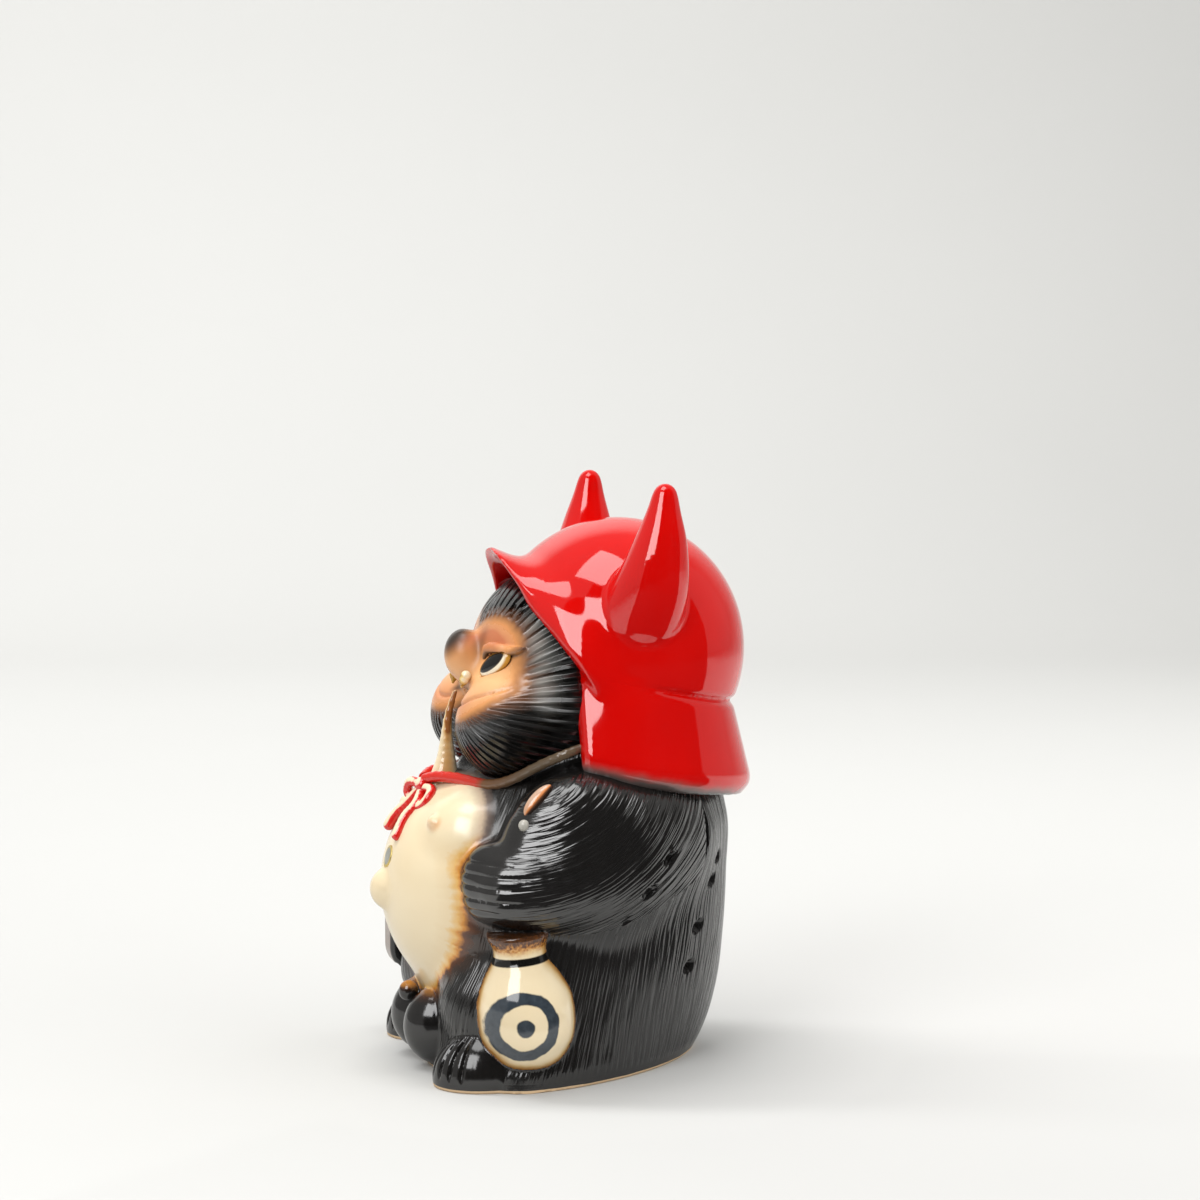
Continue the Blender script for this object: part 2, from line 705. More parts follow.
RUFF_PITCH = 2.7
RUFF_DEPTH = 0.75
RUFF_SEED = 31
MOUTH_CORNER = (14.0, -48.0, 160.0)
FACE_COMB_REACH = 26
BROW_PATCH = ((15, 178), (22, 17), 18)     # middle and radii in X and Z, and the distance they stand for
CHEEK_PATCH = ((20, 164), (23, 15.5), 17)
SMILE_X = (8, 14, 20, 30, 40)
SMILE_Z = (158.5, 156.6, 156.8, 161, 166)
SMILE_DEPTH = 1.2
FACE_PITS = ((20, 197.5, 1.3), (23.5, 199.5, 1.1), (22, 194, 1.2), (26, 196, 1.0))
FACE_PIT_DEPTH = 1.3
LID_X = (17, 20, 24, 30, 36)
LID_Z = (174.5, 178.2, 178.8, 178.2, 180.5)


def oval(x, z, centre, radii, reach):
    """About the distance from an oval drawn on the front, negative inside."""
    return (np.hypot((x - centre[0]) / radii[0], (z - centre[1]) / radii[1]) - 1) * reach


def face_patch(points):
    """Distance from the edge of the face's tan patch, negative inside."""
    x, y, z = points.T
    x = np.abs(x)
    patch = smooth_union(oval(x, z, *BROW_PATCH), oval(x, z, *CHEEK_PATCH), 6)
    return patch + (y > -12) * 20


def face_comb(points):
    """The comb's coordinates on the head: round the corner of the mouth, and out from it."""
    x, y, z = points.T
    across = 0.76 * (np.abs(x) - MOUTH_CORNER[0]) + 0.65 * (y - MOUTH_CORNER[1])
    return np.arctan2(across, MOUTH_CORNER[2] - z) * FACE_COMB_REACH, np.hypot(across, z - MOUTH_CORNER[2])


def head_relief(points):
    x, y, z = points.T
    x = np.abs(x)
    turn, out = face_comb(points)
    lines = comb(turn, out, RUFF_PITCH, RUFF_SEED) * ruff_band(points)
    fur = smooth_step(0.5, 4, face_patch(points))
    crease_z = curve(x, SMILE_X, SMILE_Z)
    crease = np.exp(-((z - crease_z) / 0.8) ** 2) * smooth_step(9, 13, x) * smooth_step(40, 35, x)
    dents = 0
    for across, height, size in FACE_PITS:
        dents = np.maximum(dents, smooth_step(1.3, 0.3, np.hypot(x - across, z - height) / size))
    front = (crease * SMILE_DEPTH + dents * FACE_PIT_DEPTH) * (y < -10)
    return -(lines * fur * RUFF_DEPTH + front)


def head_fur(points):
    return smooth_step(-2, 3, face_patch(points))


def ruff_band(points):
    """The pleated ruff along the helmet's rim, 0 to 1."""
    turn, out = face_comb(points)
    side = smooth_step(24, 34, np.abs(points[:, 0])) * smooth_step(-27, -18, points[:, 1])
    return smooth_step(22, 30, out) * smooth_step(36, 44, turn) * smooth_step(6, 2, points[:, 1]) * side


def ruff_ash(points):
    """Thin pale glaze on the ridges of the ruff's pleats."""
    turn, out = face_comb(points)
    return ruff_band(points) * (1 - comb(turn, out, RUFF_PITCH, RUFF_SEED)) * smooth_step(52, 40, out) * 0.8


def face_dark(points):
    """Airbrushed shade on the nose's top and tip, in the lid's crease, by the nose and along the mouth."""
    x, y, z = points.T
    x = np.abs(x)
    ahead = (-0.7 * (y - NOSE[0][1]) + 0.72 * (z - NOSE[0][2])) / 9.5
    tip = smooth_step(0.3, 0.95, ahead) * (y < -38)
    side = 0.55 * np.exp(-(np.hypot(x - 9, (z - 181) * 0.5) / 3.5) ** 2) * smooth_step(-43, -37, y)
    lid_z = curve(x, LID_X, LID_Z)
    lid = 0.9 * np.exp(-((z - lid_z) ** 2)) * smooth_step(16, 18, x) * smooth_step(36, 32, x) * (y < -20)
    mouth = 0.8 * np.exp(-((z - 163 + 0.25 * x) / 1.3) ** 2) * smooth_step(15, 10, x) * (y < -38)
    return np.maximum(np.maximum(tip, side), np.maximum(lid, mouth))


def face_warm(points):
    """Where the face's tan lies between the rosy cheek, 0, the pale middle, 0.5, and the rosy brow, 1."""
    return np.clip(0.5 + (points[:, 2] - 168) / 32, 0, 1)


def foot_relief(points):
    x, y, z = points.T
    turn = np.arctan2(np.abs(x) - FOOT[0][0], FOOT[0][1] - y)
    toes = np.exp(-((np.mod(turn + 0.15, TOE_TURN) - TOE_TURN / 2) / 0.04) ** 2)
    front = smooth_step(3, 9, z) * smooth_step(-48, -58, y) * smooth_step(1.1, 0.7, np.abs(turn))
    return -TOE_DEPTH * toes * front


# Colour regions

CREAM_CHEST = ((20, -54, 106), (27, 20, 23))
CREAM_BELLY = ((0, 76), (47.5, 46), 46)
NIPPLE_TINT = (2.2, -0.6)  # the tint's middle from the nipple's


def cream_edge(points):
    """Distance from the edge of the cream belly and chest, negative inside."""
    x, y, z = points.T
    belly = oval(x, z, *CREAM_BELLY)
    chest = ellipsoid((np.abs(x), y, z), *CREAM_CHEST)
    edge = smooth_union(belly, chest, 4)
    turn = np.arctan2(x, z - 80)
    flames = 0.8 * noise(turn * 22, z * 0.03, x * 0, 41) + 0.7 * noise(turn * 55, z * 0.05, x * 0, 42)
    return edge + flames * smooth_step(112, 92, z) + (y > -26) * 80


def nipple_blush(points):
    """Warm tint behind each nipple."""
    aside = np.abs(points[:, 0]) - NIPPLE[0][0] - NIPPLE_TINT[0]
    away = np.hypot(aside, points[:, 2] - NIPPLE[0][2] - NIPPLE_TINT[1])
    return 0.7 * smooth_step(4.2, 1.2, away) * (points[:, 1] < -40)


def soft_edge(points):
    """How far the cream's edge is a soft grey rather than a burnt one: only on the chest."""
    return smooth_step(99, 107, points[:, 2])


# Materials

CLAW_BAND = 1.3            # painted value of the claw, past the thumb's own range
GLAZE_IOR = 1.7
SATIN_IOR = 1.66
RICH_IOR = 1.88
HEAD_LINES = 2.3           # mm between the combed lines of the head
BLACK = (0.0055, 0.0052, 0.0048)
ASH = (0.34, 0.335, 0.31)
SMOKE = (0.011, 0.010, 0.0095)
CREAM = (0.74, 0.59, 0.37)
CREAM_PALE = (0.80, 0.69, 0.48)
BLUSH = (0.66, 0.30, 0.10)
AMBER = (0.55, 0.22, 0.03)
BURNT = (0.10, 0.030, 0.008)
TAN = (0.60, 0.26, 0.085)
TAN_PALE = (0.76, 0.42, 0.19)
ROSY = (0.52, 0.17, 0.07)
UMBER = (0.13, 0.052, 0.024)
CLAY = (0.62, 0.44, 0.26)
RED = (0.60, 0.0022, 0.0010)
RED_DEEP = (0.50, 0.0012, 0.0006)
FADE_IN = ((0.0, (0, 0, 0)), (1.0, (1, 1, 1)))
FADE_OUT = ((0.0, (1, 1, 1)), (1.0, (0, 0, 0)))


def new_material(name):
    material = bpy.data.materials.new(name)
    material.use_nodes = True
    tree = material.node_tree
    shader = tree.nodes["Principled BSDF"]
    shader.inputs["IOR"].default_value = GLAZE_IOR
    return material, tree, shader


def add(tree, kind, **settings):
    node = tree.nodes.new(kind)
    for key, value in settings.items():
        setattr(node, key, value)
    return node


def attribute(tree, name):
    return add(tree, "ShaderNodeAttribute", attribute_name=name).outputs["Fac"]


def position(tree, scale):
    """Object coordinates in millimetres, times one scale or three."""
    source = add(tree, "ShaderNodeTexCoord").outputs["Object"]
    mapping = add(tree, "ShaderNodeMapping")
    mapping.inputs["Scale"].default_value = [s / MM for s in np.broadcast_to(scale, 3)]
    tree.links.new(source, mapping.inputs["Vector"])
    return mapping.outputs["Vector"]


def speckle(tree, scale, detail=4.0):
    node = add(tree, "ShaderNodeTexNoise")
    node.inputs["Scale"].default_value = 1.0
    node.inputs["Detail"].default_value = detail
    tree.links.new(position(tree, scale), node.inputs["Vector"])
    return node.outputs["Fac"]


def math_node(tree, operation, a, b):
    node = add(tree, "ShaderNodeMath", operation=operation)
    for socket, value in zip(node.inputs, (a, b)):
        if isinstance(value, (int, float)):
            socket.default_value = value
        else:
            tree.links.new(value, socket)
    return node.outputs[0]


def wavering(tree, name, scale, amount):
    """A painted value that a fine noise makes uneven."""
    uneven = math_node(tree, "MULTIPLY", speckle(tree, scale), amount)
    return math_node(tree, "ADD", attribute(tree, name), uneven)


def ramp(tree, factor, low, high, stops):
    """Colours along a value that runs from low to high."""
    spread = add(tree, "ShaderNodeMapRange")
    spread.inputs["From Min"].default_value = low
    spread.inputs["From Max"].default_value = high
    tree.links.new(factor, spread.inputs["Value"])
    node = add(tree, "ShaderNodeValToRGB")
    elements = node.color_ramp.elements
    while len(elements) < len(stops):
        elements.new(0.5)
    for element, (position, colour) in zip(elements, stops):
        element.position = position
        element.color = (*colour, 1)
    tree.links.new(spread.outputs["Result"], node.inputs["Fac"])
    return node.outputs["Color"]


def mix(tree, factor, a, b):
    node = add(tree, "ShaderNodeMix", data_type="RGBA")
    for socket, value in ((node.inputs[0], factor), (node.inputs[6], a), (node.inputs[7], b)):
        if isinstance(value, tuple):
            socket.default_value = (*value, 1)
        elif isinstance(value, (int, float)):
            socket.default_value = value
        else:
            tree.links.new(value, socket)
    return node.outputs[2]


def bump(tree, shader, height, strength, distance):
    node = add(tree, "ShaderNodeBump")
    node.inputs["Strength"].default_value = strength
    node.inputs["Distance"].default_value = distance * MM
    tree.links.new(height, node.inputs["Height"])
    tree.links.new(node.outputs["Normal"], shader.inputs["Normal"])


def black_colour(tree):
    return mix(tree, speckle(tree, (0.05, 0.05, 0.02)), BLACK, SMOKE)


def foot_clay(tree, colour):
    """Bare clay in a thin line along the foot rim and inside the hollow."""
    height = add(tree, "ShaderNodeSeparateXYZ")
    tree.links.new(position(tree, 1), height.inputs["Vector"])
    wobble = math_node(tree, "MULTIPLY", speckle(tree, 0.08), 0.8)
    level = math_node(tree, "SUBTRACT", height.outputs["Z"], wobble)
    bare = math_node(tree, "LESS_THAN", level, FOOT_LINE)
    return mix(tree, bare, colour, CLAY), bare


def fur_bump(tree, shader, strength, lines):
    """Fine combed strokes that follow the piece's own comb coordinates, and even lines where asked for."""
    lie = add(tree, "ShaderNodeCombineXYZ")
    tree.links.new(attribute(tree, "across"), lie.inputs["X"])
    tree.links.new(attribute(tree, "along"), lie.inputs["Y"])
    heights = []
    for scale in ((0.75, 0.045, 1), (0.34, 0.03, 1)):
        stretch = add(tree, "ShaderNodeMapping")
        stretch.inputs["Scale"].default_value = scale
        tree.links.new(lie.outputs["Vector"], stretch.inputs["Vector"])
        hair = add(tree, "ShaderNodeTexNoise")
        hair.inputs["Scale"].default_value = 1.0
        hair.inputs["Detail"].default_value = 1.0
        tree.links.new(stretch.outputs["Vector"], hair.inputs["Vector"])
        heights.append(ramp(tree, hair.outputs["Fac"], 0.42, 0.72, FADE_OUT))
    height = math_node(tree, "ADD", heights[0], heights[1])
    if lines:
        wander = math_node(tree, "MULTIPLY", hair.outputs["Fac"], 5.0)
        turns = math_node(tree, "MULTIPLY", attribute(tree, "across"), 2 * math.pi / lines)
        wave = math_node(tree, "SINE", math_node(tree, "ADD", turns, wander), 0)
        height = math_node(tree, "ADD", math_node(tree, "MULTIPLY", height, 0.4), wave)
    height = math_node(tree, "MULTIPLY", height, attribute(tree, "fur"))
    bump(tree, shader, height, strength, 1.5 if lines else 0.7)


def fur_glaze(name, roughness, edge=None, combed=0.7, lines=0.0, ior=GLAZE_IOR):
    """Black glaze over combed clay; an edge brings in the belly's cream, the face's tan or the bag's glow."""
    material, tree, shader = new_material(name)
    colour = black_colour(tree)
    if edge == "cream":
        soft = wavering(tree, "cream", 0.5, 1.4)
        pale = mix(tree, speckle(tree, 0.03, 2.0), CREAM, CREAM_PALE)
        burn = ramp(tree, soft, -6, 10, [
            (0.10, CREAM), (0.25, (0.70, 0.42, 0.13)), (0.34, AMBER), (0.43, BURNT),
            (0.60, (0.035, 0.018, 0.011)), (0.95, BLACK)])
        mist = ramp(tree, soft, -6, 10, [
            (0.10, CREAM_PALE), (0.30, (0.60, 0.46, 0.33)), (0.42, (0.16, 0.12, 0.10)),
            (0.60, SMOKE), (0.95, BLACK)])
        burn = mix(tree, attribute(tree, "soft"), burn, mist)
        pale = mix(tree, attribute(tree, "blush"), pale, BLUSH)
        inner = ramp(tree, soft, -9, -4, FADE_OUT)
        colour = mix(tree, inner, burn, pale)
        dark = ramp(tree, soft, 7, 11, FADE_IN)
        colour = mix(tree, dark, colour, black_colour(tree))
    if edge == "tan":
        skin = ramp(tree, attribute(tree, "warm"), 0, 1, [
            (0.0, ROSY), (0.5, TAN_PALE), (0.8, TAN), (1.0, ROSY)])
        soft = wavering(tree, "tan", 0.2, 2.0)
        spray = ramp(tree, soft, -6, 6, [(0.0, TAN_PALE), (0.25, TAN), (0.55, UMBER), (0.9, BLACK)])
        inner = ramp(tree, soft, -7, -2, FADE_OUT)
        colour = mix(tree, inner, spray, skin)
        colour = mix(tree, attribute(tree, "dark"), colour, (0.030, 0.018, 0.012))
        colour = mix(tree, attribute(tree, "ash"), colour, ASH)
    if edge == "bag":
        glow = ramp(tree, attribute(tree, "bag"), 0, 1, [(0.0, BLACK), (0.5, BURNT), (1.0, AMBER)])
        colour = mix(tree, attribute(tree, "bag"), colour, glow)
    colour, bare = foot_clay(tree, colour)
    tree.links.new(colour, shader.inputs["Base Color"])
    grain = speckle(tree, (0.6, 0.6, 0.25))
    rough = math_node(tree, "ADD", math_node(tree, "MULTIPLY", grain, 0.12), roughness - 0.06)
    shader.inputs["IOR"].default_value = ior
    if edge == "tan":
        rough = math_node(tree, "ADD", rough, math_node(tree, "MULTIPLY", inner, 0.22))
    rough = math_node(tree, "MAXIMUM", rough, math_node(tree, "MULTIPLY", bare, 0.8))
    tree.links.new(rough, shader.inputs["Roughness"])
    if combed:
        fur_bump(tree, shader, combed, lines)
    else:
        bump(tree, shader, grain, 0.12, 0.4)
    return material


def red_glaze(name="red_glaze"):
    """Deep glossy red; the guard's turned-in lower edge darkens to black."""
    material, tree, shader = new_material(name)
    colour = mix(tree, speckle(tree, 0.03, 3.0), RED_DEEP, RED)
    if name == "guard_glaze":
        edge = wavering(tree, "edge", 0.1, 3.0)
        dark = ramp(tree, edge, 0, 4, FADE_IN)
        smoke = ramp(tree, edge, 0, 9, [(0.0, RED), (0.35, (0.30, 0.08, 0.07)), (0.6, (0.09, 0.07, 0.065)),
                                        (1.0, BLACK)])
        colour = mix(tree, dark, colour, smoke)
    tree.links.new(colour, shader.inputs["Base Color"])
    shader.inputs["Roughness"].default_value = 0.06
    bump(tree, shader, speckle(tree, 0.045, 2.0), 0.10, 1.0)
    return material


def banded_glaze(name, stops, low, high, roughness):
    """A glaze whose colour follows a painted value on the piece."""
    material, tree, shader = new_material(name)
    value = wavering(tree, "band", 0.25, (high - low) * 0.06)
    tree.links.new(ramp(tree, value, low, high, stops), shader.inputs["Base Color"])
    shader.inputs["Roughness"].default_value = roughness
    bump(tree, shader, speckle(tree, 0.3), 0.06, 0.5)
    return material


# Figure pieces

def make_body():
    glaze = fur_glaze("body_glaze", 0.22, "cream", 0.5)
    step, margin = GRIDS["body"]
    box = node_box("body_front_half", "body_back_half", margin=margin)
    box[0][2] = BELOW_FLOOR

    def field(p):
        form = share_skin(
            body_form(p), (arm_form(p), arm_soft(p)), (foot_form(p), FOOT_JOINT), (bag_form(p), BAG_JOINT),
            (flask_form(p), FLASK_JOINT), (head_form(p), NECK_JOINT))
        form = smooth_both(form, -p[2], FLOOR_ROUND)
        return smooth_both(form, -body_hollow(p), 1.5)

    whole, points, _ = sculpt("body_sculpt", box, step, field, body_relief)
    across, along = body_comb(points)
    set_paint(whole, {
        "cream": cream_edge(points), "soft": soft_edge(points), "blush": nipple_blush(points),
        "across": across, "along": along, "fur": body_fur(points)})
    halves = (("body_front_half", "cream_glaze", True), ("body_back_half", "black_glaze", False))
    for node, slot, keeps_front in halves:
        half = bmesh.new()
        half.from_mesh(whole)
        everything = half.verts[:] + half.edges[:] + half.faces[:]
        cut = bmesh.ops.bisect_plane(
            half, geom=everything, plane_co=(0, SEAM_Y * MM, 0), plane_no=(0, 1, 0),
            clear_outer=keeps_front, clear_inner=not keeps_front)
        rim = [e for e in cut["geom_cut"] if isinstance(e, bmesh.types.BMEdge)]
        bmesh.ops.triangle_fill(half, edges=rim, use_beauty=True)
        bmesh.ops.recalc_face_normals(half, faces=half.faces[:])
        mesh = bpy.data.meshes.new(node + "_sculpt")
        half.to_mesh(mesh)
        half.free()
        mesh.shade_smooth()
        mesh.set_sharp_from_angle(angle=SEAM_SHARP)
        add_piece(mesh, [node], glaze)
    bpy.data.meshes.remove(whole)


def make_arms():
    glaze = fur_glaze("arm_glaze", 0.15, ior=RICH_IOR)
    pad = banded_glaze("thumb_glaze", [
        (0.0, BLACK), (0.30, UMBER), (0.5, (0.50, 0.17, 0.055)), (0.75, (0.64, 0.28, 0.12)),
        (0.85, (0.40, 0.385, 0.34))], 0, CLAW_BAND, 0.12)

    def arm(p):
        return share_skin(
            arm_form(p), (body_form(p), arm_soft(p)), (flask_form(p), FLASK_JOINT),
            (head_form(p), ARM_HEAD_JOINT))

    for name, side in SIDES:
        mesh, points, _ = sculpt_node(name + "_arm", "arm", one_side(arm, side), arm_relief)
        across, along = arm_comb(points)
        fur = smooth_step(-44, -30, points[:, 1]) * (0.45 + 0.55 * smooth_step(-12, 24, points[:, 1]))
        add_piece(mesh, [name + "_arm"], glaze, {"across": across, "along": along, "fur": fur})

        mesh, points, normals = sculpt_node(name + "_thumb", "thumb", one_side(thumb_form, side))
        facing = normals @ unit((-0.15 * side, -0.75, 0.62))
        claw = CLAW_BAND * smooth_step(115, 114, points[:, 2])
        band = np.maximum(smooth_step(-0.1, 0.5, facing), claw)
        add_piece(mesh, [name + "_thumb"], pad, {"band": band})


def make_feet_and_bag():
    glaze = fur_glaze("foot_glaze", 0.13, combed=0)

    def foot(p):
        form = share_skin(
            foot_form(p), (body_form(p), FOOT_JOINT), (bag_form(p), BAG_FOOT_JOINT),
            (flask_form(p), FLASK_JOINT))
        return smooth_both(form, -p[2], FLOOR_ROUND)

    for name, side in SIDES:
        mesh, _, _ = sculpt_node(name + "_foot", "foot", one_side(foot, side), foot_relief)
        add_piece(mesh, [name + "_foot"], glaze)

    def bag(p):
        form = share_skin(bag_form(p), (body_form(p), BAG_JOINT), (foot_form(p), BAG_FOOT_JOINT))
        return smooth_both(form, -p[2], FLOOR_ROUND)

    mesh, points, normals = sculpt_node("money_bag", "bag", bag)
    warm = smooth_step(27, 36, points[:, 2]) * smooth_step(-0.2, 0.6, normals[:, 2])
    glaze = fur_glaze("bag_glaze", 0.13, "bag", combed=0)
    add_piece(mesh, ["money_bag"], glaze, {"bag": warm})


def make_flask():
    def field(p):
        neighbours = (body_form(p), arm_form(p), foot_form(p))
        return share_skin(flask_form(p), *[(other, FLASK_JOINT) for other in neighbours])

    mesh, points, _ = sculpt_node("sake_flask", "flask", field)
    _, deep, up = in_frame(points.T, FLASK_FOOT, FLASK_AXES)
    ring = np.hypot(deep - RING_DEEP, up - RING_UP)
    touch = np.minimum(np.minimum(body_form(points.T), arm_form(points.T)), foot_form(points.T))
    cord = np.exp(-((up - FLASK_CORD_UP) / 2.0) ** 2)
    paint = {"up": up, "ring": ring, "cordband": cord, "touch": touch}
    add_piece(mesh, ["sake_flask", "flask_cord"], flask_glaze(), paint)


def flask_glaze():
    material, tree, shader = new_material("flask_glaze")
    up = wavering(tree, "up", 0.12, 3.0)
    colour = mix(tree, speckle(tree, 0.05), CREAM, CREAM_PALE)
    touch = wavering(tree, "touch", 0.15, 3.0)
    edge = ramp(tree, touch, 1, 9, [(0.0, BURNT), (0.25, (0.42, 0.19, 0.04)), (0.6, (0.66, 0.45, 0.2)),
                                    (1.0, CREAM)])
    colour = mix(tree, ramp(tree, touch, 5, 9, FADE_OUT), colour, edge)
    spots = math_node(tree, "MULTIPLY", speckle(tree, 0.8), 12.0)
    lip = ramp(tree, math_node(tree, "ADD", up, spots), 57, 68, [
        (0.0, (0.70, 0.45, 0.16)), (0.3, (0.50, 0.20, 0.03)), (0.55, (0.10, 0.035, 0.010)),
        (1.0, (0.03, 0.014, 0.008))])
    colour = mix(tree, ramp(tree, up, 51, 54, FADE_IN), colour, lip)
    ring = wavering(tree, "ring", 0.15, 2.2)
    brush = ramp(tree, ring, 8, 18, [
        (0.0, (0, 0, 0)), (0.24, (0, 0, 0)), (0.30, (1, 1, 1)), (0.74, (1, 1, 1)), (0.80, (0, 0, 0)),
        (1.0, (0, 0, 0))])
    dot = ramp(tree, ring, 3, 6, [(0.0, (1, 1, 1)), (0.5, (1, 1, 1)), (0.7, (0, 0, 0)), (1.0, (0, 0, 0))])
    ink = mix(tree, speckle(tree, 0.4), (0.016, 0.021, 0.028), (0.055, 0.070, 0.085))
    colour = mix(tree, math_node(tree, "MAXIMUM", brush, dot), colour, ink)
    band = ramp(tree, attribute(tree, "cordband"), 0.45, 0.65, FADE_IN)
    colour = mix(tree, band, colour, BLACK)
    tree.links.new(colour, shader.inputs["Base Color"])
    shader.inputs["Roughness"].default_value = 0.1
    bump(tree, shader, speckle(tree, 0.2), 0.06, 0.5)
    return material


def make_head():
    glaze = fur_glaze("head_glaze", 0.2, "tan", 0.9, HEAD_LINES, SATIN_IOR)

    def field(p):
        form = share_skin(head_form(p), (body_form(p), NECK_JOINT), (arm_form(p), ARM_HEAD_JOINT))
        return smooth_both(form, ellipsoid(p, *HEAD_TRIM), 2)

    step, margin = GRIDS["head"]
    box = node_box("head", margin=margin)
    box[1][1:] = HEAD_BACK, HEAD_TOP
    mesh, points, _ = sculpt("head_sculpt", box, step, field, head_relief)
    across, along = face_comb(points)
    add_piece(mesh, ["head"], glaze, {
        "tan": face_patch(points), "dark": face_dark(points), "warm": face_warm(points),
        "ash": ruff_ash(points), "across": across, "along": along, "fur": head_fur(points)})

    lens = eye_glaze()
    ivory = banded_glaze("fang_glaze", [
        (0.0, (0.42, 0.21, 0.02)), (0.5, (0.75, 0.52, 0.16)), (1.0, CREAM_PALE)], 0, 1, 0.1)

    def fang(p):
        return limb(mirrored(p), FANG, 1)

    for name, side in SIDES:
        mesh, points, _ = sculpt_node(name + "_eye", "eye", one_side(eye_form, side))
        along, up, _ = in_frame(mirrored(points.T), EYE_CENTRE, EYE_AXES)
        pupil = np.hypot((along - PUPIL_AT[0]) / PUPIL_RADII[0], (up - PUPIL_AT[1]) / PUPIL_RADII[1])
        rim = np.hypot(along / EYE_RADII[0], up / EYE_RADII[1])
        add_piece(mesh, [name + "_eye"], lens, {"pupil": pupil, "rim": rim})

        mesh, _, normals = sculpt_node(name + "_fang", "fang", one_side(fang, side))
        lit = normals @ unit((0.7 * side, 0.3, 0.6))
        add_piece(mesh, [name + "_fang"], ivory, {"band": smooth_step(-0.2, 0.5, lit)})

    def beard(p):
        flat = (p[0] * 1.15, p[1], p[2])
        return limb(flat, BEARD, 0.6, 13)

    mesh, points, _ = sculpt_node("beard", "beard", beard)
    wide = curve(points[:, 2], BEARD_Z, BEARD_HALF)
    side = 0.6 * smooth_step(136, 154, points[:, 2]) + np.abs(points[:, 0]) / wide
    strip = banded_glaze("beard_glaze", [
        (0.0, CREAM_PALE), (0.55, CREAM), (0.85, (0.60, 0.34, 0.12)), (1.0, (0.30, 0.11, 0.03))],
        0.2, 1.25, 0.12)
    add_piece(mesh, ["beard"], strip, {"band": side})


def eye_glaze():
    material, tree, shader = new_material("eye_glaze")
    pupil = ramp(tree, attribute(tree, "pupil"), 0.9, 1.06, [
        (0.0, (0.004, 0.004, 0.004)), (0.5, (0.05, 0.02, 0.005)), (1.0, (0.87, 0.80, 0.62))])
    edge = ramp(tree, attribute(tree, "rim"), 0.76, 0.9, FADE_IN)
    colour = mix(tree, edge, pupil, (0.55, 0.27, 0.04))
    tree.links.new(colour, shader.inputs["Base Color"])
    shader.inputs["Roughness"].default_value = 0.05
    bump(tree, shader, speckle(tree, 0.3), 0.03, 0.4)
    return material


def make_helmet():
    glaze = red_glaze()

    def shell(p):
        return smooth_both(helmet_form(p), -helmet_hollow(p), 2.0)

    def bowl(p):
        return ends_at(part_of(shell(p), bowl_form(p), visor_form(p), horn_form(p)), below_rim(p))

    mesh, _, _ = sculpt_node("helmet_bowl", "bowl", bowl)
    add_piece(mesh, ["helmet_bowl"], glaze)

    def visor(p):
        return part_of(shell(p), visor_form(p), bowl_form(p), horn_form(p))

    mesh, _, _ = sculpt_node("visor", "visor", visor)
    add_piece(mesh, ["visor"], glaze)

    def guard(p):
        return ends_at(shell(p), -below_rim(p))

    mesh, points, _ = sculpt_node("neck_guard", "guard", guard)
    edge = below_rim(points.T) - GUARD_HEIGHT
    add_piece(mesh, ["neck_guard"], red_glaze("guard_glaze"), {"edge": edge})

    def horn(p):
        inner = ellipsoid(p, HELMET_CENTRE, [r - HORN_BED for r in BOWL_RADII], HELMET_AXES)
        return np.maximum(part_of(helmet_form(p), horn_form(p), bowl_form(p), visor_form(p)), -inner)

    for name, side in SIDES:
        mesh, _, _ = sculpt_node(name + "_horn", "horn", one_side(horn, side))
        add_piece(mesh, [name + "_horn"], glaze)


def make_ledger():
    low, high = node_box("account_ledger", margin=0)
    middle = middle_of(low, high)
    half = [(b - a) / 2 for a, b in zip(low, high)]

    def field(p):
        gaps = [np.abs(c - m) - h + LEDGER_ROUND for c, m, h in zip(p, middle, half)]
        outside = np.sqrt(sum(np.maximum(g, 0) ** 2 for g in gaps))
        book = outside + np.minimum(np.maximum(np.maximum(gaps[0], gaps[1]), gaps[2]), 0) - LEDGER_ROUND
        block = np.maximum(np.abs(p[0] - middle[0]) - half[0] + COVER, PAGE_INSET - gaps[2] - LEDGER_ROUND)
        past = middle[1] + middle[2] - p[1] - p[2] - half[1] - half[2]
        corner = (past + LEDGER_CORNER) * math.sqrt(0.5)
        return smooth_both(smooth_both(book, corner, 4.0), -block, 0.8)

    mesh, points, _ = sculpt_node("account_ledger", "ledger", field)
    pages = smooth_step(half[0] - 1.2, half[0] - 2.2, np.abs(points[:, 0] - middle[0]))
    paper = banded_glaze("ledger_glaze", [
        (0.0, BLACK), (0.3, SMOKE), (0.7, (0.05, 0.03, 0.02)), (1.0, (0.16, 0.10, 0.06))], 0, 1, 0.2)
    add_piece(mesh, ["account_ledger"], paper, {"band": pages})


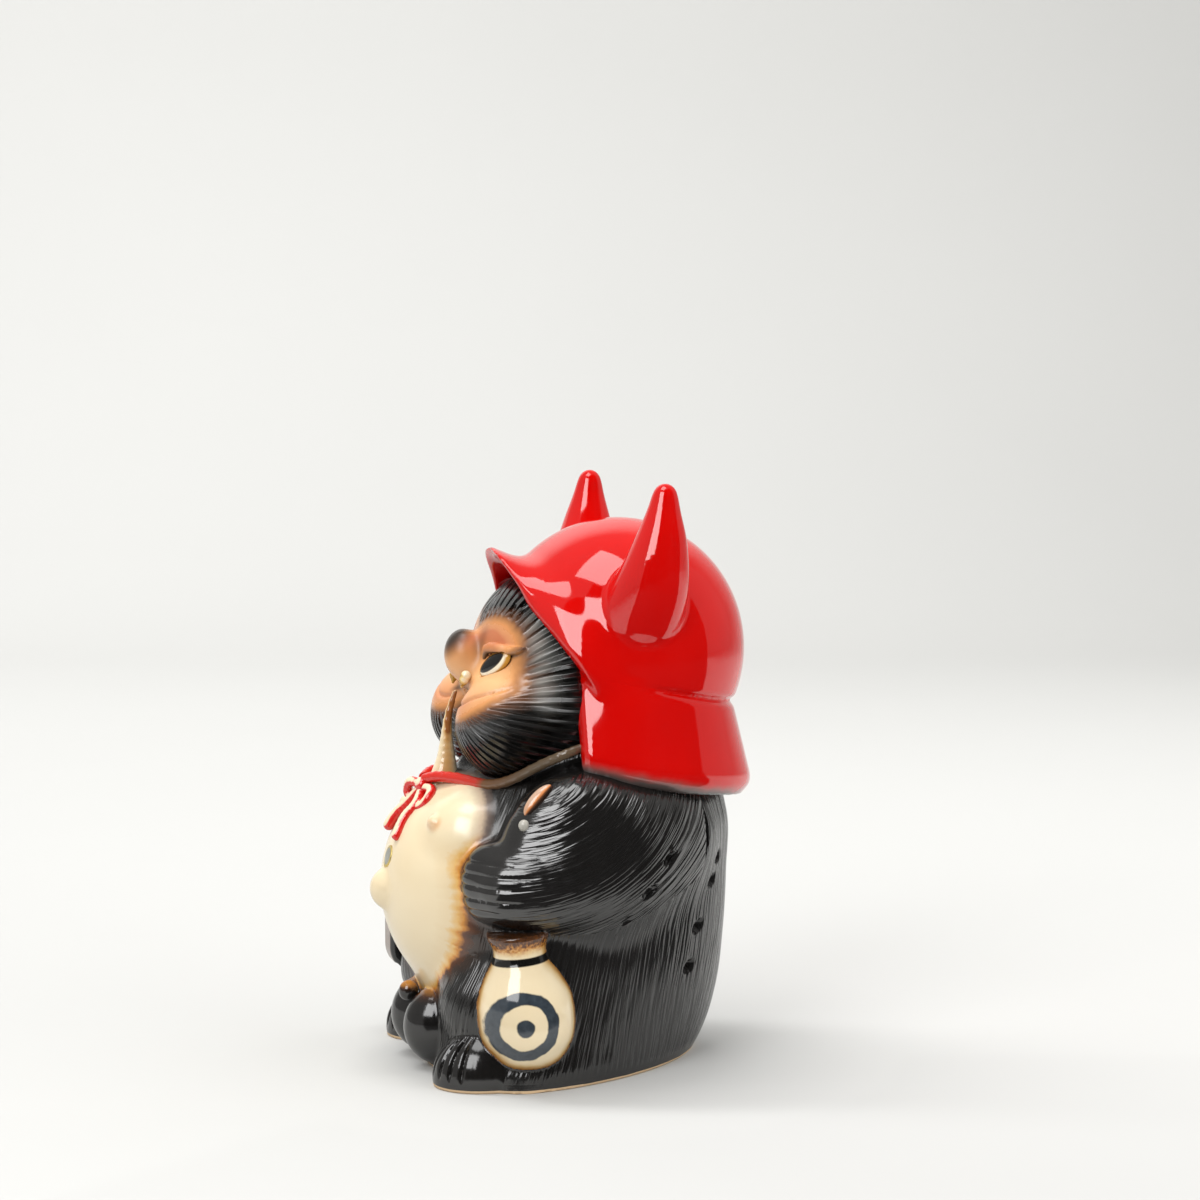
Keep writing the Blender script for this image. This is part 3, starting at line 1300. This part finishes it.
def make_cords():
    cord_glaze = banded_glaze("cord_glaze", [
        (0.0, (0.60, 0.02, 0.012)), (0.40, (0.55, 0.03, 0.015)), (0.52, (0.17, 0.075, 0.03)),
        (1.0, (0.11, 0.075, 0.045))], 0, 1, 0.2)

    def cord(p):
        return limb(mirrored(p), CHIN_CORD, 0.5, 19)

    for name, side in SIDES:
        node = "chin_cord_" + name
        mesh, points, _ = sculpt_node(node, "cord", one_side(cord, side, CORD_GAP))
        add_piece(mesh, [node], cord_glaze, {"band": smooth_step(8, 50, np.abs(points[:, 0]))})

    bow = banded_glaze("bow_glaze", [(0.0, (0.62, 0.010, 0.008)), (0.45, (0.66, 0.03, 0.02)),
                                     (0.62, (0.80, 0.42, 0.34)), (0.85, CREAM_PALE)], 0, 1, 0.12)

    def add_ribbon(name, form):
        mesh, points, normals = sculpt_node(name, "ribbon", form)
        crown = normals @ unit((0.1, -0.8, 0.6))
        runs = 0.35 * noise(*(points.T * 0.35), 61)
        band = np.clip(smooth_step(0.55, 0.95, crown) + runs, 0, 1)
        add_piece(mesh, [name], bow, {"band": band})

    add_ribbon("bow_knot", lambda p: ellipsoid(p, *BOW_KNOT))
    for side in ("left", "right"):
        loop = [(place, RIBBON) for place in BOW_LOOPS[side]]
        tail = [(place, RIBBON + 0.15 * step) for step, place in enumerate(BOW_TAILS[side])]
        add_ribbon(side + "_bow_loop", lambda p: limb(p, loop, 0.4, 17))
        add_ribbon(side + "_bow_tail", lambda p: limb(p, tail, 0.4, 13))


def make_seal():
    """A blank round foil with a raised gold rim, on the belly's skin."""
    def field(p):
        skin = body_form(p)
        disc = np.hypot(p[0] - SEAL_AT[0], (p[2] - SEAL_AT[1]) * 0.97) - SEAL_RADIUS
        return smooth_both(np.maximum(skin - SEAL_THICK, -skin - SEAL_BED), disc, 0.4)

    mesh, points, _ = sculpt_node("foil_seal", "seal", field)
    rim = np.hypot(points[:, 0] - SEAL_AT[0], points[:, 2] - SEAL_AT[1]) / SEAL_RADIUS
    material, tree, shader = new_material("foil")
    shader.inputs["Metallic"].default_value = 0.9
    shader.inputs["Roughness"].default_value = 0.32
    worn = mix(tree, speckle(tree, 0.8), (0.30, 0.30, 0.27), (0.55, 0.55, 0.50))
    edge = ramp(tree, attribute(tree, "rim"), 0.72, 0.86, FADE_IN)
    tree.links.new(mix(tree, edge, worn, (0.75, 0.58, 0.20)), shader.inputs["Base Color"])
    bump(tree, shader, speckle(tree, 1.2), 0.2, 0.2)
    add_piece(mesh, ["foil_seal"], material, {"rim": rim})


# Stage: seamless pale sweep, soft boxes and the camera

CAMERA_PLACE = (1255.7, -338.7, 322.0)
CAMERA_TURN = math.radians(74.148)
CAMERA_TILT = math.radians(5.427)
LENS = 90.48
SWEEP_WIDTH = 6000.0
SWEEP_FRONT = 2600.0
SWEEP_BACK = 1500.0
SWEEP_BEND = 700.0
SWEEP_HEIGHT = 3500.0
SWEEP_STEPS = 16
SWEEP_GREYS = ((0.53, 0.53, 0.517), (0.555, 0.555, 0.541))
SENSOR = 36.0
TO_CAMERA = Vector((math.sin(CAMERA_TURN), -math.cos(CAMERA_TURN), 0))
TO_RIGHT = Vector((math.cos(CAMERA_TURN), math.sin(CAMERA_TURN), 0))
UP = Vector((0, 0, 1))
MIDDLE = Vector((0, 0, 130))
# Each lamp: place from the middle (right, towards the camera, up), size, power, and whether glazes mirror it
LAMPS = (
    ("key_box", (-460, 800, 600), (560, 660), 6.6, True),
    ("top_box", (-200, 200, 1250), (650, 650), 5.0, True),
    ("fill_box", (1100, 500, 500), (1200, 1200), 9.5, False),
    ("rear_box", (900, -600, 700), (1000, 1000), 4.5, False),
)
WALL_LAMP = (-900, -500, 2400)
WALL_AIM = (-800, -2200, 800)
WALL_SIZE = (2600, 700)
WALL_POWER = 92
WORLD_TINT = (1.0, 0.98, 0.95, 1)
WORLD_LIGHT = 0.34
CARD_PROFILE = ((150, 2), (1500, 2), (1900, 1500), (1400, 2800))   # out from the object, and up
CARD_TURNS = (-40, -20, 0, 20, 40, 65, 88)                         # degrees to the camera's right
CARD_GREYS = ((0.01, 0.01, 0.01), (0.014, 0.014, 0.014))


def make_camera():
    camera = bpy.data.objects.new("camera", bpy.data.cameras.new("camera"))
    bpy.context.scene.collection.objects.link(camera)
    back = TO_CAMERA * math.cos(CAMERA_TILT) + UP * math.sin(CAMERA_TILT)
    camera.location = Vector(CAMERA_PLACE) * MM
    camera.rotation_mode = "QUATERNION"
    camera.rotation_quaternion = (-back).to_track_quat("-Z", "Y")
    camera.data.lens = LENS
    camera.data.sensor_width = SENSOR
    camera.data.clip_start = 0.01
    camera.data.clip_end = 50.0
    bpy.context.scene.camera = camera


def studio(right, forward, up):
    """A place in the studio: to the camera's right, towards the camera and up."""
    return TO_RIGHT * right + TO_CAMERA * forward + UP * up


def add_screen(name, strips, low, high):
    """A sheet through strips of points, in a matt paper between two greys."""
    count = len(strips[0])
    faces = [(i * count + j, i * count + j + 1, (i + 1) * count + j + 1, (i + 1) * count + j)
             for i in range(len(strips) - 1) for j in range(count - 1)]
    mesh = bpy.data.meshes.new(name)
    mesh.from_pydata([point * MM for strip in strips for point in strip], [], faces)
    material, tree, shader = new_material(name + "_paper")
    tree.links.new(mix(tree, speckle(tree, 0.002), low, high), shader.inputs["Base Color"])
    shader.inputs["Roughness"].default_value = 0.9
    mesh.materials.append(material)
    screen = bpy.data.objects.new(name, mesh)
    bpy.context.scene.collection.objects.link(screen)
    return screen


def make_sweep():
    """A pale floor that bends up into the backdrop behind the object."""
    profile = [(SWEEP_FRONT, 0.0), (0.0, 0.0), (-SWEEP_BACK, 0.0)]
    for step in range(1, SWEEP_STEPS + 1):
        turn = step / SWEEP_STEPS * math.pi / 2
        profile.append((-SWEEP_BACK - SWEEP_BEND * math.sin(turn), SWEEP_BEND * (1 - math.cos(turn))))
    profile.append((-SWEEP_BACK - SWEEP_BEND, SWEEP_HEIGHT))
    edges = (-SWEEP_WIDTH / 2, SWEEP_WIDTH / 2)
    strips = [[studio(edge, along, height) for along, height in profile] for edge in edges]
    sweep = add_screen("sweep", strips, *SWEEP_GREYS)
    sweep.data.shade_smooth()


def soft_box(name, place, target, size, power, mirrors):
    lamp = bpy.data.lights.new(name, "AREA")
    lamp.shape = "RECTANGLE"
    lamp.size = size[0] * MM
    lamp.size_y = size[1] * MM
    lamp.energy = power
    holder = bpy.data.objects.new(name, lamp)
    bpy.context.scene.collection.objects.link(holder)
    holder.location = place * MM
    holder.rotation_mode = "QUATERNION"
    holder.rotation_quaternion = ((target - place) * MM).to_track_quat("-Z", "Y")
    holder.visible_glossy = mirrors


def make_light():
    for name, place, size, power, mirrors in LAMPS:
        soft_box(name, MIDDLE + studio(*place), MIDDLE, size, power, mirrors)
    soft_box("wall_box", studio(*WALL_LAMP), studio(*WALL_AIM), WALL_SIZE, WALL_POWER, False)
    world = bpy.data.worlds.new("studio")
    world.use_nodes = True
    world.node_tree.nodes["Background"].inputs["Color"].default_value = WORLD_TINT
    world.node_tree.nodes["Background"].inputs["Strength"].default_value = WORLD_LIGHT
    bpy.context.scene.world = world
    bpy.context.scene.view_settings.view_transform = "Standard"


def make_card():
    """A black card round the camera's side that only the glazes mirror."""
    strips = []
    for turn in CARD_TURNS:
        sine = math.sin(math.radians(turn))
        cosine = math.cos(math.radians(turn))
        strips.append([studio(sine * out, cosine * out, height) for out, height in CARD_PROFILE])
    card = add_screen("black_card", strips, *CARD_GREYS)
    card.visible_camera = False
    card.visible_diffuse = False
    card.visible_shadow = False


make_camera()
make_sweep()
make_light()
make_card()
make_body()
make_arms()
make_feet_and_bag()
make_flask()
make_head()
make_helmet()
make_ledger()
make_cords()
make_seal()
